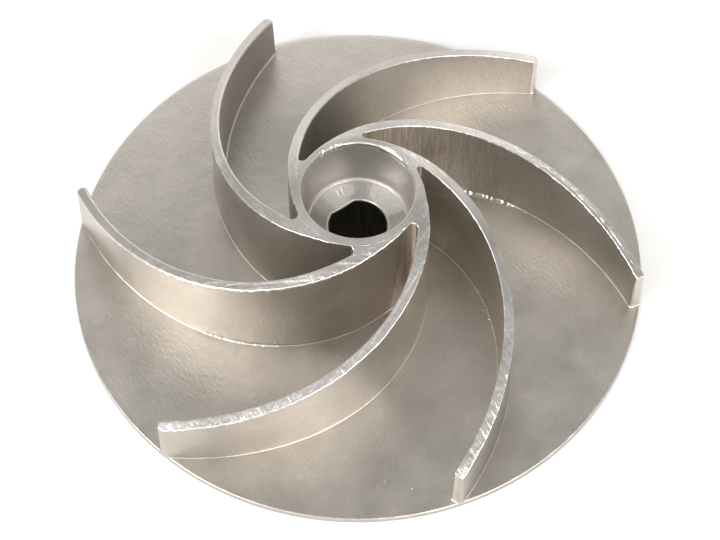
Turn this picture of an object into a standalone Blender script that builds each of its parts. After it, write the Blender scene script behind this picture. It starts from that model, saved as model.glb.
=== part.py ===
# Semi-open pump impeller: one stainless steel investment casting with a thin back plate,
# six backward-swept vanes and a hub whose bowl holds the shaft nut above a D-shaped bore.
# The axis is +Z, the back face is z = 0 and the open side with the vanes looks along +Z.

import math

import bmesh
import bpy
import numpy as np

MM = 0.001

# Back plate
PLATE_RADIUS = 100.0 * MM
PLATE_THICKNESS = 2.5 * MM
RIM_ROUND = 0.4 * MM

# Vanes: the blade angle is measured from the tangent, at radii from the rim to the hub
VANE_COUNT = 6
FIRST_VANE_ANGLE = math.radians(109.6)
VANE_END_RADIUS = 98.4 * MM
VANE_ROOT_RADIUS = 20.7 * MM
BLADE_RADII = [21.0 * MM, 25.0 * MM, 32.0 * MM, 45.0 * MM, 70.0 * MM, 100.0 * MM]
BLADE_ANGLES = [14.0, 26.5, 37.5, 41.0, 38.5, 35.5]
THICKNESS_RADII = [30.0 * MM, 45.0 * MM, 100.0 * MM]
VANE_THICKNESSES = [3.85 * MM, 3.3 * MM, 3.25 * MM]
VANE_STATIONS = 30
VANE_PATH_STEPS = 600

# The lathe cut that leaves the vane tops on one cone, measured from the plate's front face
VANE_HEIGHT_AT_RIM = 18.2 * MM
TOP_CONE_ANGLE = math.radians(19.1)

# Hub, with heights measured from the plate's front face
HUB_TOP_RADIUS = 22.8 * MM
HUB_FOOT_RADIUS = 24.0 * MM
HUB_FOOT_ROUND = 4.0 * MM
BOWL_RIM_RADIUS = 19.0 * MM
BOWL_FLOOR_RADIUS = 17.4 * MM
BOWL_FLOOR_HEIGHT = 26.5 * MM
BORE_MOUTH_HEIGHT = 24.0 * MM

# D-shaped bore: a round hole with one flat for the shaft
BORE_RADIUS = 10.0 * MM
BORE_FLAT_DISTANCE = 9.1 * MM
BORE_FLAT_ANGLE = math.radians(139.0)
BORE_CHAMFER = 1.0 * MM

# How finely round shapes are cut into facets
ROUND_STEPS = 96
ARC_STEPS = 4

# Stock that the cutters take away
PILOT_RADIUS = 5.0 * MM
STOCK_OVER = 4.0 * MM
CUT_OVER = 8.0 * MM
MERGE = 0.00001

# Cast stainless steel, blasted after casting
STEEL_COLOUR = (0.43, 0.39, 0.35, 1.0)
STEEL_ROUGHNESS = 0.45


def clear_scene():
    for old in list(bpy.data.objects):
        bpy.data.objects.remove(old, do_unlink=True)


def new_collection(name):
    collection = bpy.data.collections.new(name)
    bpy.context.scene.collection.children.link(collection)
    return collection


def cast_steel():
    material = bpy.data.materials.new("cast_stainless_steel")
    material.use_nodes = True
    shader = material.node_tree.nodes["Principled BSDF"]
    shader.inputs["Base Color"].default_value = STEEL_COLOUR
    shader.inputs["Metallic"].default_value = 1.0
    shader.inputs["Roughness"].default_value = STEEL_ROUGHNESS
    return material


def top_height(radius):
    """Height of the turned vane tops and hub rim at a radius, above the back face."""
    rise = (PLATE_RADIUS - radius) * math.tan(TOP_CONE_ANGLE)
    return PLATE_THICKNESS + VANE_HEIGHT_AT_RIM + rise


def arc_points(centre, radius, start, end, steps):
    """Points on an arc in the profile plane, from angle start to angle end in degrees."""
    angles = np.radians(np.linspace(start, end, steps + 1))
    return [(centre[0] + radius * math.cos(a), centre[1] + radius * math.sin(a)) for a in angles]


def turned_object(name, profile, collection):
    """A closed (radius, height) profile turned about Z with a Screw modifier."""
    mesh = bpy.data.meshes.new(name)
    points = [(radius, 0.0, height) for radius, height in profile]
    edges = [(i, (i + 1) % len(points)) for i in range(len(points))]
    mesh.from_pydata(points, edges, [])
    turned = bpy.data.objects.new(name, mesh)
    collection.objects.link(turned)
    screw = turned.modifiers.new("turn", "SCREW")
    screw.axis = "Z"
    screw.angle = math.tau
    screw.steps = ROUND_STEPS
    screw.render_steps = ROUND_STEPS
    screw.use_merge_vertices = True
    screw.merge_threshold = MERGE
    return turned


def flat_prism(name, outline, bottom, top, collection):
    """A flat outline as a filled 2D curve, extruded between two heights and made a mesh."""
    curve = bpy.data.curves.new(name, "CURVE")
    curve.dimensions = "2D"
    curve.fill_mode = "BOTH"
    curve.extrude = (top - bottom) / 2
    spline = curve.splines.new("POLY")
    spline.points.add(len(outline) - 1)
    for point, (x, y) in zip(spline.points, outline):
        point.co = (x, y, 0.0, 1.0)
    spline.use_cyclic_u = True
    drawn = bpy.data.objects.new(name + "_curve", curve)
    drawn.location.z = (top + bottom) / 2
    collection.objects.link(drawn)
    bpy.context.view_layer.update()
    evaluated = drawn.evaluated_get(bpy.context.evaluated_depsgraph_get())
    mesh = bpy.data.meshes.new_from_object(evaluated)
    mesh.name = name
    welded = bmesh.new()
    welded.from_mesh(mesh)
    bmesh.ops.remove_doubles(welded, verts=welded.verts, dist=MERGE)
    bmesh.ops.recalc_face_normals(welded, faces=welded.faces)
    welded.to_mesh(mesh)
    welded.free()
    prism = bpy.data.objects.new(name, mesh)
    prism.matrix_world = drawn.matrix_world
    collection.objects.link(prism)
    bpy.data.objects.remove(drawn, do_unlink=True)
    return prism


def plate_and_hub(collection):
    """The turned stock of back plate and hub, with a pilot hole and the chamfer behind it."""
    hub_top = top_height(BOWL_RIM_RADIUS) + STOCK_OVER
    foot = (HUB_FOOT_RADIUS + HUB_FOOT_ROUND, PLATE_THICKNESS + HUB_FOOT_ROUND)
    profile = [(PILOT_RADIUS, hub_top), (HUB_TOP_RADIUS, hub_top)]
    profile += arc_points(foot, HUB_FOOT_ROUND, 180, 270, ARC_STEPS)
    front_round = (PLATE_RADIUS - RIM_ROUND, PLATE_THICKNESS - RIM_ROUND)
    back_round = (PLATE_RADIUS - RIM_ROUND, RIM_ROUND)
    profile += arc_points(front_round, RIM_ROUND, 90, 0, ARC_STEPS // 2)
    profile += arc_points(back_round, RIM_ROUND, 0, -90, ARC_STEPS // 2)
    chamfer_depth = 2 * BORE_CHAMFER
    profile.append((BORE_RADIUS + BORE_CHAMFER, 0.0))
    profile.append((BORE_RADIUS + BORE_CHAMFER - chamfer_depth, chamfer_depth))
    profile.append((PILOT_RADIUS, chamfer_depth))
    return turned_object("impeller_casting", profile, collection)


def vane_path():
    """Radius, angle and unit direction along the vane's middle line, from its end to its root.

    With the blade angle b at radius r, the line turns by dr / (r tan b) about the axis.
    """
    radius = np.linspace(VANE_END_RADIUS, VANE_ROOT_RADIUS, VANE_PATH_STEPS)
    blade = np.radians(np.interp(radius, BLADE_RADII, BLADE_ANGLES))
    rate = 1.0 / (radius * np.tan(blade))
    turn = (rate[1:] + rate[:-1]) / 2 * -np.diff(radius)
    angle = FIRST_VANE_ANGLE + np.concatenate(([0.0], np.cumsum(turn)))
    return radius, angle, blade


def vane_outline(turn):
    """The vane's outline seen from the front, turned by an angle about the axis."""
    radius, angle, blade = vane_path()
    middle = np.column_stack([radius * np.cos(angle), radius * np.sin(angle)])
    heading = angle + math.pi / 2 + (math.pi / 2 - blade)
    inward = np.column_stack([-np.sin(heading), np.cos(heading)])
    half = np.interp(radius, THICKNESS_RADII, VANE_THICKNESSES)[:, None] / 2
    run = np.concatenate(([0.0], np.cumsum(np.hypot(*np.diff(middle, axis=0).T))))
    stations = np.linspace(0.0, run[-1], VANE_STATIONS)
    sides = []
    for side in (middle + half * inward, middle - half * inward):
        x = np.interp(stations, run, side[:, 0])
        y = np.interp(stations, run, side[:, 1])
        sides.append(np.column_stack([x, y]))
    outline = np.vstack([sides[0], sides[1][::-1]])
    c, s = math.cos(turn), math.sin(turn)
    return outline @ np.array([[c, s], [-s, c]])


def vane_blanks(collection):
    """Six upright vanes, standing in the plate and reaching above the lathe cut."""
    bottom = PLATE_THICKNESS / 3
    top = top_height(BOWL_RIM_RADIUS) + STOCK_OVER / 2
    for number in range(VANE_COUNT):
        outline = vane_outline(-number * math.tau / VANE_COUNT)
        flat_prism(f"vane_blank_{number + 1}", outline, bottom, top, collection)


def open_face_cutter(collection):
    """What the lathe takes off: the space over the vane tops, and the bowl in the hub."""
    floor = PLATE_THICKNESS + BOWL_FLOOR_HEIGHT
    mouth = PLATE_THICKNESS + BORE_MOUTH_HEIGHT
    slope = (floor - mouth) / (BOWL_FLOOR_RADIUS - BORE_RADIUS)
    inner = PILOT_RADIUS - MM
    outer = PLATE_RADIUS + CUT_OVER
    ceiling = top_height(BOWL_RIM_RADIUS) + CUT_OVER
    profile = [
        (inner, ceiling),
        (outer, ceiling),
        (outer, top_height(outer)),
        (BOWL_RIM_RADIUS, top_height(BOWL_RIM_RADIUS)),
        (BOWL_FLOOR_RADIUS, floor),
        (inner, mouth - slope * (BORE_RADIUS - inner)),
    ]
    return turned_object("open_face_cutter", profile, collection)


def bore_cutter(collection):
    """The D-shaped bore: an arc on the same facets as the turned faces, closed by the flat."""
    half_flat = math.acos(BORE_FLAT_DISTANCE / BORE_RADIUS)
    start = BORE_FLAT_ANGLE + half_flat
    end = BORE_FLAT_ANGLE - half_flat + math.tau
    step = math.tau / ROUND_STEPS
    facets = [i * step for i in range(math.ceil(start / step), math.floor(end / step) + 1)]
    angles = [start] + facets + [end]
    outline = [(BORE_RADIUS * math.cos(a), BORE_RADIUS * math.sin(a)) for a in angles]
    return flat_prism("bore_cutter", outline, -CUT_OVER, 2 * CUT_OVER + BOWL_FLOOR_HEIGHT, collection)


def add_boolean(target, name, operation, operand):
    boolean = target.modifiers.new(name, "BOOLEAN")
    boolean.operation = operation
    boolean.solver = "EXACT"
    if isinstance(operand, bpy.types.Collection):
        boolean.operand_type = "COLLECTION"
        boolean.collection = operand
    else:
        boolean.object = operand


def apply_modifiers(target):
    """Replace the object's mesh by its evaluated one, welded, with round faces smooth."""
    bpy.context.view_layer.update()
    evaluated = target.evaluated_get(bpy.context.evaluated_depsgraph_get())
    mesh = bpy.data.meshes.new_from_object(evaluated)
    target.modifiers.clear()
    target.data = mesh
    mesh.name = target.name
    welded = bmesh.new()
    welded.from_mesh(mesh)
    bmesh.ops.remove_doubles(welded, verts=welded.verts, dist=MERGE)
    bmesh.ops.dissolve_degenerate(welded, edges=welded.edges, dist=MERGE)
    welded.to_mesh(mesh)
    welded.free()
    mesh.shade_smooth()
    mesh.set_sharp_from_angle(angle=math.radians(30.0))


def hide_cutters(*collections):
    for collection in collections:
        for cutter in collection.objects:
            cutter.hide_render = True
            cutter.display_type = "WIRE"


def build_impeller():
    clear_scene()
    impeller = new_collection("impeller")
    blanks = new_collection("vane_blanks")
    cutters = new_collection("cutters")
    casting = plate_and_hub(impeller)
    vane_blanks(blanks)
    add_boolean(casting, "vanes", "UNION", blanks)
    add_boolean(casting, "open_face", "DIFFERENCE", open_face_cutter(cutters))
    add_boolean(casting, "bore", "DIFFERENCE", bore_cutter(cutters))
    apply_modifiers(casting)
    casting.data.materials.clear()
    casting.data.materials.append(cast_steel())
    hide_cutters(blanks, cutters)


build_impeller()
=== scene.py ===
import math
from itertools import product

import bmesh
import bpy
import numpy as np
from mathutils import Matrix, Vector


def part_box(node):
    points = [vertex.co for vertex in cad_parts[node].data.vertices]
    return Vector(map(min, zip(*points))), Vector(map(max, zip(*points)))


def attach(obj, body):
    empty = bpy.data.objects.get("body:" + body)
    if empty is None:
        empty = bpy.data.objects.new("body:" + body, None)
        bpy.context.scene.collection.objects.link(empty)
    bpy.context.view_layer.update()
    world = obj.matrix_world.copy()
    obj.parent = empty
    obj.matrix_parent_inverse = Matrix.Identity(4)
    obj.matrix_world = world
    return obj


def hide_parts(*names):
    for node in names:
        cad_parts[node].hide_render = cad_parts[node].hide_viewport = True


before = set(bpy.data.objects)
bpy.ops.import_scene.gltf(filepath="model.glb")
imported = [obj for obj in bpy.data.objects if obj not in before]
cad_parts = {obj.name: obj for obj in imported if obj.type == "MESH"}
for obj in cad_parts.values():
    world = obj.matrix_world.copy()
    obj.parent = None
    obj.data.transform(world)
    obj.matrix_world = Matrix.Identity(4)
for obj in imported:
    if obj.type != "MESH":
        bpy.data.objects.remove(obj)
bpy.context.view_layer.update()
print("frame loaded")

mm = 0.001
castLow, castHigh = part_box("impeller_casting")
outerRadius = (castHigh.x - castLow.x) / 2
hubHeight = castHigh.z

# Sizes that more than one part of the casting uses, in metres and degrees. The places of painted light
# or, below nought, painted shade have the degrees at their middle, the half width in degrees and the amount
casting = {
    "plateThickness": 2.5 * mm,
    "bowlRimRadius": 19.0 * mm,
    "hubRadius": 21.8 * mm,       # outside of the hub's wall at its rim
    "topConeAngle": 19.1,         # slope of the turned vane tops
    "vaneCount": 6,
    "ringPale": [(225, 45, 0.1), (330, 50, 0.25), (78, 30, -0.45), (125, 30, -0.3), (30, 25, -0.25),
                 (275, 35, -0.15)],
    # brown stains left by pickling: x, y and z of the middle, reach in mm and amount
    "stains": [(18.1, -12.1, 29, 1.8, 0.8), (18.9, -12.8, 22.5, 1.8, 0.8), (17.2, -12.3, 13, 3.0, 0.7),
               (14.5, -16.2, 17, 5.0, 0.35), (25.3, 31.0, 27, 6.0, 0.3)],
    "skinWaves": [(14 * mm, 0.07 * mm), (4.5 * mm, 0.03 * mm)],   # wave length and height of the cast skin
    "toolMarkPitch": 0.55 * mm,
    "toolMarkDepth": 0.008 * mm,
    "edgeRound": 0.28 * mm,       # broken edge beside a turned face
    "lipReach": 0.14 * mm,        # how far a torn edge leans out of the wall
    "lipRise": 0.05 * mm,         # and how far it stands above the turned face
    "fileTurn": -62.0,            # direction of the file's strokes across the vane tops
    "fileWidth": 0.75 * mm,
    "fileLength": 5.0 * mm,
}


# Numbers shared by every surface

def linear(hexColour):
    # sRGB value v to linear: v / 12.92 up to 0.04045, ((v + 0.055) / 1.055) ^ 2.4 above
    value = np.array([int(hexColour[i:i + 2], 16) for i in (1, 3, 5)]) / 255
    low, high = value / 12.92, ((value + 0.055) / 1.055) ** 2.4
    return (*np.where(value <= 0.04045, low, high).tolist(), 1.0)


def latticeNoise(points, cell, seed):
    # random values between -1 and 1 on a cubic grid of side cell, blended along each axis by 3t^2 - 2t^3
    side = 48
    table = np.random.default_rng(seed).uniform(-1, 1, (side, side, side))
    place = np.asarray(points) / cell
    base = np.floor(place).astype(int)
    blend = place - base
    blend = blend * blend * (3 - 2 * blend)
    total = np.zeros(place.shape[:-1])
    for corner in product((0, 1), repeat=3):
        weight = np.prod(np.where(corner, blend, 1 - blend), axis=-1)
        index = (base + corner) % side
        total += weight * table[index[..., 0], index[..., 1], index[..., 2]]
    return total


def castSkin(points, seed=11):
    # sum over the skin's waves of height times lattice noise of that wave length
    waves = casting["skinWaves"]
    return sum(height * latticeNoise(points, length, seed + i) for i, (length, height) in enumerate(waves))


def toolMarks(radius):
    # lathe rings: lattice noise along the radius alone, so every piece that the lathe cut shares them
    line = np.stack([radius, np.zeros_like(radius), np.zeros_like(radius)], axis=-1)
    return latticeNoise(line, casting["toolMarkPitch"], 5)


def fileStrokes(points, seed=9):
    # lattice noise on x and y turned into the file's direction and shrunk along it, so it makes long strokes
    turn = math.radians(casting["fileTurn"])
    along = points[..., 0] * math.cos(turn) + points[..., 1] * math.sin(turn)
    across = points[..., 1] * math.cos(turn) - points[..., 0] * math.sin(turn)
    shrunk = along * casting["fileWidth"] / casting["fileLength"]
    place = np.stack([shrunk, across, np.zeros_like(across)], axis=-1)
    return latticeNoise(place, casting["fileWidth"], seed)


def topHeight(radius):
    # height of the turned cone: the hub's height less (r - bowl rim radius) times the tangent of its slope
    return hubHeight - (radius - casting["bowlRimRadius"]) * math.tan(math.radians(casting["topConeAngle"]))


def smoothStep(value):
    # 3t^2 - 2t^3 with t held between 0 and 1
    t = np.clip(value, 0, 1)
    return t * t * (3 - 2 * t)


def stained(points):
    # greatest of amount * e^(-(distance / reach)^2) over the stains, broken up by lattice noise
    total = np.zeros(points.shape[:-1])
    for x, y, z, reach, amount in casting["stains"]:
        distance = np.linalg.norm(points - np.array([x, y, z]) * mm, axis=-1) / (reach * mm)
        total = np.maximum(total, amount * np.exp(-distance ** 2))
    return total * np.clip(0.9 + 0.9 * latticeNoise(points, 0.8 * mm, 71), 0, 1.3)


def turnedFrom(angle, centre):
    # signed degrees from centre to angle, between -180 and 180
    return (angle - centre + 180) % 360 - 180


def makeObject(name, verts, faces, faceMaterials, materials, attributes=None):
    mesh = bpy.data.meshes.new(name)
    mesh.from_pydata(verts.tolist(), [], [list(face) for face in faces])
    mesh.polygons.foreach_set("material_index", faceMaterials.astype(np.int32))
    for key, values in (attributes or {}).items():
        layer = mesh.attributes.new(key, "FLOAT", "POINT")
        layer.data.foreach_set("value", np.asarray(values, dtype=np.float32).ravel())
    for material in materials:
        mesh.materials.append(material)
    work = bmesh.new()
    work.from_mesh(mesh)
    bmesh.ops.remove_doubles(work, verts=work.verts, dist=0.001 * mm)
    bmesh.ops.recalc_face_normals(work, faces=work.faces)
    work.to_mesh(mesh)
    work.free()
    mesh.shade_smooth()
    mesh.set_sharp_from_angle(angle=math.radians(40))
    made = bpy.data.objects.new(name, mesh)
    bpy.context.scene.collection.objects.link(made)
    return made


def gridFaces(rows, columns, wrapRows, wrapColumns):
    # quads of a grid of points numbered row * columns + column, joined round where a side wraps
    i = np.arange(rows if wrapRows else rows - 1)
    j = np.arange(columns if wrapColumns else columns - 1)
    i, j = np.meshgrid(i, j, indexing="ij")
    nextI, nextJ = (i + 1) % rows, (j + 1) % columns
    corners = [i * columns + j, nextI * columns + j, nextI * columns + nextJ, i * columns + nextJ]
    return np.stack(corners, axis=-1).reshape(-1, 4)


# Materials

def addNode(tree, kind, settings=None, links=None):
    node = tree.nodes.new(kind)
    for key, value in (settings or {}).items():
        if isinstance(key, int) or key in node.inputs:
            node.inputs[key].default_value = value
        else:
            setattr(node, key, value)
    for key, source in (links or {}).items():
        tree.links.new(source, node.inputs[key])
    return node


def newMaterial(name):
    material = bpy.data.materials.new(name)
    material.use_nodes = True
    tree = material.node_tree
    tree.nodes.clear()
    return material, tree


# Investment cast stainless steel, shot blasted: a warm grey metal with a dry satin sheen, a sandy
# grain and soft cloudy patches. Rubbed edges and torn lips come out paler by an attribute of wear and
# painted light, which also paints highlights and lit places and, below nought, mixes toward painted shade
castSteelLook = {
    "light": "#D0C9C1", "dark": "#B9B3A9",
    "wearAndPaintedLight": "#F1ECE6", "shade": "#7F7B73", "stain": "#8A6A4E",
    "roughness": (0.36, 0.44), "brightRoughness": 0.27,
    "cloudSize": 16.0,    # mm across a cloudy patch
    "grainSize": 0.9,     # mm, coarser than real shot marks of 0.1 mm, which the render can't show
    "grainDepth": 0.055,  # mm
    "peelSize": 4.5,      # mm, the soft orange peel of the wax
    "peelDepth": 0.07,    # mm
    "rippleSize": 0.85,   # mm, ripples left by the blast, three times as long as wide
    "rippleDepth": 0.06,  # mm
    "rippleTurn": -52.0,  # degrees from the side to side axis
    "streakSize": 0.9,    # mm across the streaks that run up and down a wall where "streak" is high
    "streakDepth": 0.12,  # mm
    "strokeSize": 0.0,
    "strokeDepth": 0.0,
    "ringPitch": 0.0,
    "ringDepth": 0.0,
    "anisotropy": 0.0,
}

# The same casting where a lathe has trimmed it and the blast has gone over it again: a little cooler,
# with the lathe's rings just showing, and paler strokes of a file where the wear and painted light is high
turnedSteelLook = dict(castSteelLook, light="#CEC9C4", dark="#B7B2AC", rippleDepth=0.02,
                       strokeSize=0.55,   # mm, six times as long as wide
                       strokeDepth=0.18,  # mm
                       ringPitch=1.1,     # mm from one ring to the next, coarse enough to show
                       ringDepth=0.012)   # mm

# The bowl, turned and blasted dull, so that it takes a soft shade from top to bottom and no highlight.
# Painted light at its foot and painted shade up its wall add to that shade
bowlSteelLook = dict(castSteelLook, light="#D1CDC7", dark="#BDB9B3", roughness=(0.5, 0.58), rippleDepth=0.0,
                     ringPitch=1.1, ringDepth=0.01)

# The seat in the bowl, turned later than the rest: its rings are too fine to draw, so they show as a sheen
# that spreads from the axis outward and makes paler fans to the left and right of the bore. Painted
# highlights on the seat make those fans lighter still, and painted shade darkens its sides
seatSteelLook = dict(castSteelLook, light="#CBC6BD", dark="#B0ABA2", anisotropy=0.65, rippleDepth=0.0,
                     ringPitch=1.1, ringDepth=0.02)


def blastedSteel(name, look):
    material, tree = newMaterial(name)
    place = addNode(tree, "ShaderNodeTexCoord").outputs["Object"]
    cloud = addNode(tree, "ShaderNodeTexNoise", {"Scale": 1000 / look["cloudSize"], "Detail": 4.0,
                    "Roughness": 0.6}, {"Vector": place})
    grain = addNode(tree, "ShaderNodeTexNoise", {"Scale": 1000 / look["grainSize"], "Detail": 3.0,
                    "Roughness": 0.65}, {"Vector": place})
    wearAndPaintedLight = addNode(tree, "ShaderNodeAttribute", {"attribute_name": "wearAndPaintedLight"}).outputs["Fac"]
    stain = addNode(tree, "ShaderNodeAttribute", {"attribute_name": "stain"}).outputs["Fac"]
    share = addNode(tree, "ShaderNodeMath", {"operation": "MULTIPLY_ADD", 1: 0.6},
                    {0: grain.outputs["Fac"], 2: cloud.outputs["Fac"]}).outputs[0]
    share = addNode(tree, "ShaderNodeMapRange", {"From Min": 0.5, "From Max": 1.1},
                    {"Value": share}).outputs[0]
    peel = addNode(tree, "ShaderNodeTexNoise", {"Scale": 1000 / look["peelSize"], "Detail": 1.0},
                   {"Vector": place})
    along = addNode(tree, "ShaderNodeMapping", {"vector_type": "TEXTURE", "Rotation":
                    (0, 0, math.radians(look["rippleTurn"])), "Scale": (3.5, 1.0, 3.5)}, {"Vector": place})
    ripple = addNode(tree, "ShaderNodeTexNoise", {"Scale": 1000 / look["rippleSize"], "Detail": 2.0},
                     {"Vector": along.outputs[0]})
    upright = addNode(tree, "ShaderNodeMapping", {"vector_type": "TEXTURE", "Scale": (1.0, 1.0, 14.0)},
                      {"Vector": place})
    streak = addNode(tree, "ShaderNodeTexNoise", {"Scale": 1000 / look["streakSize"], "Detail": 3.0},
                     {"Vector": upright.outputs[0]})
    streakHere = addNode(tree, "ShaderNodeAttribute", {"attribute_name": "streak"}).outputs["Fac"]
    streak = addNode(tree, "ShaderNodeMath", {"operation": "SUBTRACT", 1: 0.5}, {0: streak.outputs["Fac"]})
    streak = addNode(tree, "ShaderNodeMath", {"operation": "MULTIPLY"},
                     {0: streak.outputs[0], 1: streakHere}).outputs[0]
    share = addNode(tree, "ShaderNodeMath", {"operation": "MULTIPLY_ADD", 1: 4.0, "use_clamp": True},
                    {0: streak, 2: share}).outputs[0]
    height = addNode(tree, "ShaderNodeMath", {"operation": "MULTIPLY", 1: look["grainDepth"]},
                     {0: grain.outputs["Fac"]}).outputs[0]
    for depth, source in (("rippleDepth", ripple.outputs["Fac"]), ("peelDepth", peel.outputs["Fac"]),
                          ("streakDepth", streak)):
        height = addNode(tree, "ShaderNodeMath", {"operation": "MULTIPLY_ADD", 1: look[depth]},
                         {0: source, 2: height}).outputs[0]
    if look["ringPitch"]:
        split = addNode(tree, "ShaderNodeSeparateXYZ", {}, {0: place})
        flat = addNode(tree, "ShaderNodeCombineXYZ", {}, {0: split.outputs[0], 1: split.outputs[1]})
        radius = addNode(tree, "ShaderNodeVectorMath", {"operation": "LENGTH"}, {0: flat.outputs[0]})
        line = addNode(tree, "ShaderNodeCombineXYZ", {}, {0: radius.outputs["Value"]})
        ring = addNode(tree, "ShaderNodeTexNoise", {"Scale": 1000 / look["ringPitch"], "Detail": 1.0},
                       {"Vector": line.outputs[0]}).outputs["Fac"]
        ring = addNode(tree, "ShaderNodeMapRange", {"From Min": 0.35, "From Max": 0.65},
                       {"Value": ring}).outputs[0]
        height = addNode(tree, "ShaderNodeMath", {"operation": "MULTIPLY_ADD", 1: look["ringDepth"]},
                         {0: ring, 2: height}).outputs[0]
    # places of wear and painted light are rubbed three quarters smooth, and those below nought take
    # painted shade
    rubbed = addNode(tree, "ShaderNodeMapRange", {"To Min": 1.0, "To Max": 0.25},
                     {"Value": wearAndPaintedLight}).outputs[0]
    height = addNode(tree, "ShaderNodeMath", {"operation": "MULTIPLY"}, {0: height, 1: rubbed}).outputs[0]
    shade = addNode(tree, "ShaderNodeMath", {"operation": "MULTIPLY", 1: -1.0, "use_clamp": True},
                    {0: wearAndPaintedLight}).outputs[0]
    if look["strokeSize"]:
        filed = addNode(tree, "ShaderNodeMapping", {"vector_type": "TEXTURE", "Rotation":
                        (0, 0, math.radians(casting["fileTurn"])), "Scale": (6.0, 1.0, 6.0)},
                        {"Vector": place})
        stroke = addNode(tree, "ShaderNodeTexNoise", {"Scale": 1000 / look["strokeSize"], "Detail": 2.0},
                         {"Vector": filed.outputs[0]}).outputs["Fac"]
        speck = addNode(tree, "ShaderNodeMapRange", {"From Min": 0.42, "From Max": 0.6, "To Max": 1.3},
                        {"Value": stroke}).outputs[0]
        stroke = addNode(tree, "ShaderNodeMath", {"operation": "MULTIPLY"}, {0: stroke, 1: wearAndPaintedLight}).outputs[0]
        height = addNode(tree, "ShaderNodeMath", {"operation": "MULTIPLY_ADD", 1: look["strokeDepth"]},
                         {0: stroke, 2: height}).outputs[0]
    else:
        speck = addNode(tree, "ShaderNodeMapRange", {"From Min": 0.38, "From Max": 0.55, "To Min": 0.8},
                        {"Value": grain.outputs["Fac"]}).outputs[0]
    wearAndPaintedLight = addNode(tree, "ShaderNodeMath", {"operation": "MULTIPLY", "use_clamp": True},
                     {0: wearAndPaintedLight, 1: speck}).outputs[0]
    colour = addNode(tree, "ShaderNodeMix", {"data_type": "RGBA", 6: linear(look["dark"]),
                     7: linear(look["light"])}, {0: share}).outputs[2]
    # below nought the colour goes toward the painted shade colour, then toward the paler colour of wear and
    # painted light
    colour = addNode(tree, "ShaderNodeMix", {"data_type": "RGBA", 7: linear(look["shade"])},
                     {0: shade, 6: colour}).outputs[2]
    colour = addNode(tree, "ShaderNodeMix", {"data_type": "RGBA", 7: linear(look["wearAndPaintedLight"])},
                     {0: wearAndPaintedLight, 6: colour}).outputs[2]
    colour = addNode(tree, "ShaderNodeMix", {"data_type": "RGBA", 7: linear(look["stain"])},
                     {0: stain, 6: colour}).outputs[2]
    rough = addNode(tree, "ShaderNodeMapRange", {"From Min": 0.3, "From Max": 0.7,
                    "To Min": look["roughness"][0], "To Max": look["roughness"][1]},
                    {"Value": cloud.outputs["Fac"]}).outputs[0]
    rough = addNode(tree, "ShaderNodeMix", {"data_type": "FLOAT", 3: look["brightRoughness"]},
                    {0: wearAndPaintedLight, 2: rough}).outputs[0]
    bump = addNode(tree, "ShaderNodeBump", {"Distance": mm, "Strength": 1.0}, {"Height": height})
    links = {"Base Color": colour, "Roughness": rough, "Normal": bump.outputs[0]}
    if look["anisotropy"]:
        outward = addNode(tree, "ShaderNodeVectorMath", {"operation": "MULTIPLY", 1: (1, 1, 0)}, {0: place})
        links["Tangent"] = addNode(tree, "ShaderNodeVectorMath", {"operation": "NORMALIZE"},
                                   {0: outward.outputs[0]}).outputs[0]
    shader = addNode(tree, "ShaderNodeBsdfPrincipled",
                     {"Metallic": 1.0, "Anisotropic": look["anisotropy"]}, links)
    addNode(tree, "ShaderNodeOutputMaterial", {}, {"Surface": shader.outputs[0]})
    return material


# The bore, finish bored: near black, a painted shade for the deep hole, faintly streaked down its depth
boreSteelLook = {"light": "#6C665C", "dark": "#544F47", "roughness": 0.5, "streakSize": 1.5}


def paintedShadeBoreSteel(look):
    material, tree = newMaterial("bored_steel_painted_shade")
    place = addNode(tree, "ShaderNodeTexCoord").outputs["Object"]
    along = addNode(tree, "ShaderNodeMapping", {"Scale": (1.0, 1.0, 0.1)}, {"Vector": place}).outputs[0]
    streak = addNode(tree, "ShaderNodeTexNoise", {"Scale": 1000 / look["streakSize"], "Detail": 2.0},
                     {"Vector": along})
    share = addNode(tree, "ShaderNodeMapRange", {"From Min": 0.35, "From Max": 0.65},
                    {"Value": streak.outputs["Fac"]})
    colour = addNode(tree, "ShaderNodeMix", {"data_type": "RGBA", 6: linear(look["dark"]),
                     7: linear(look["light"])}, {0: share.outputs[0]})
    shader = addNode(tree, "ShaderNodeBsdfPrincipled", {"Metallic": 1.0, "Roughness": look["roughness"]},
                     {"Base Color": colour.outputs[2]})
    addNode(tree, "ShaderNodeOutputMaterial", {}, {"Surface": shader.outputs[0]})
    return material


castSteel = blastedSteel("blasted_cast_stainless_steel", castSteelLook)
turnedSteel = blastedSteel("turned_and_blasted_stainless_steel", turnedSteelLook)
seatSteel = blastedSteel("turned_seat_stainless_steel", seatSteelLook)
bowlSteel = blastedSteel("turned_dull_stainless_steel", bowlSteelLook)
boreSteel = paintedShadeBoreSteel(boreSteelLook)
finishes = [castSteel, turnedSteel, boreSteel, seatSteel, bowlSteel]
castIndex, turnedIndex, boreIndex, seatIndex, bowlIndex = range(5)
print("materials made")


# Back plate and hub: one closed profile turned about the axis

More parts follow.
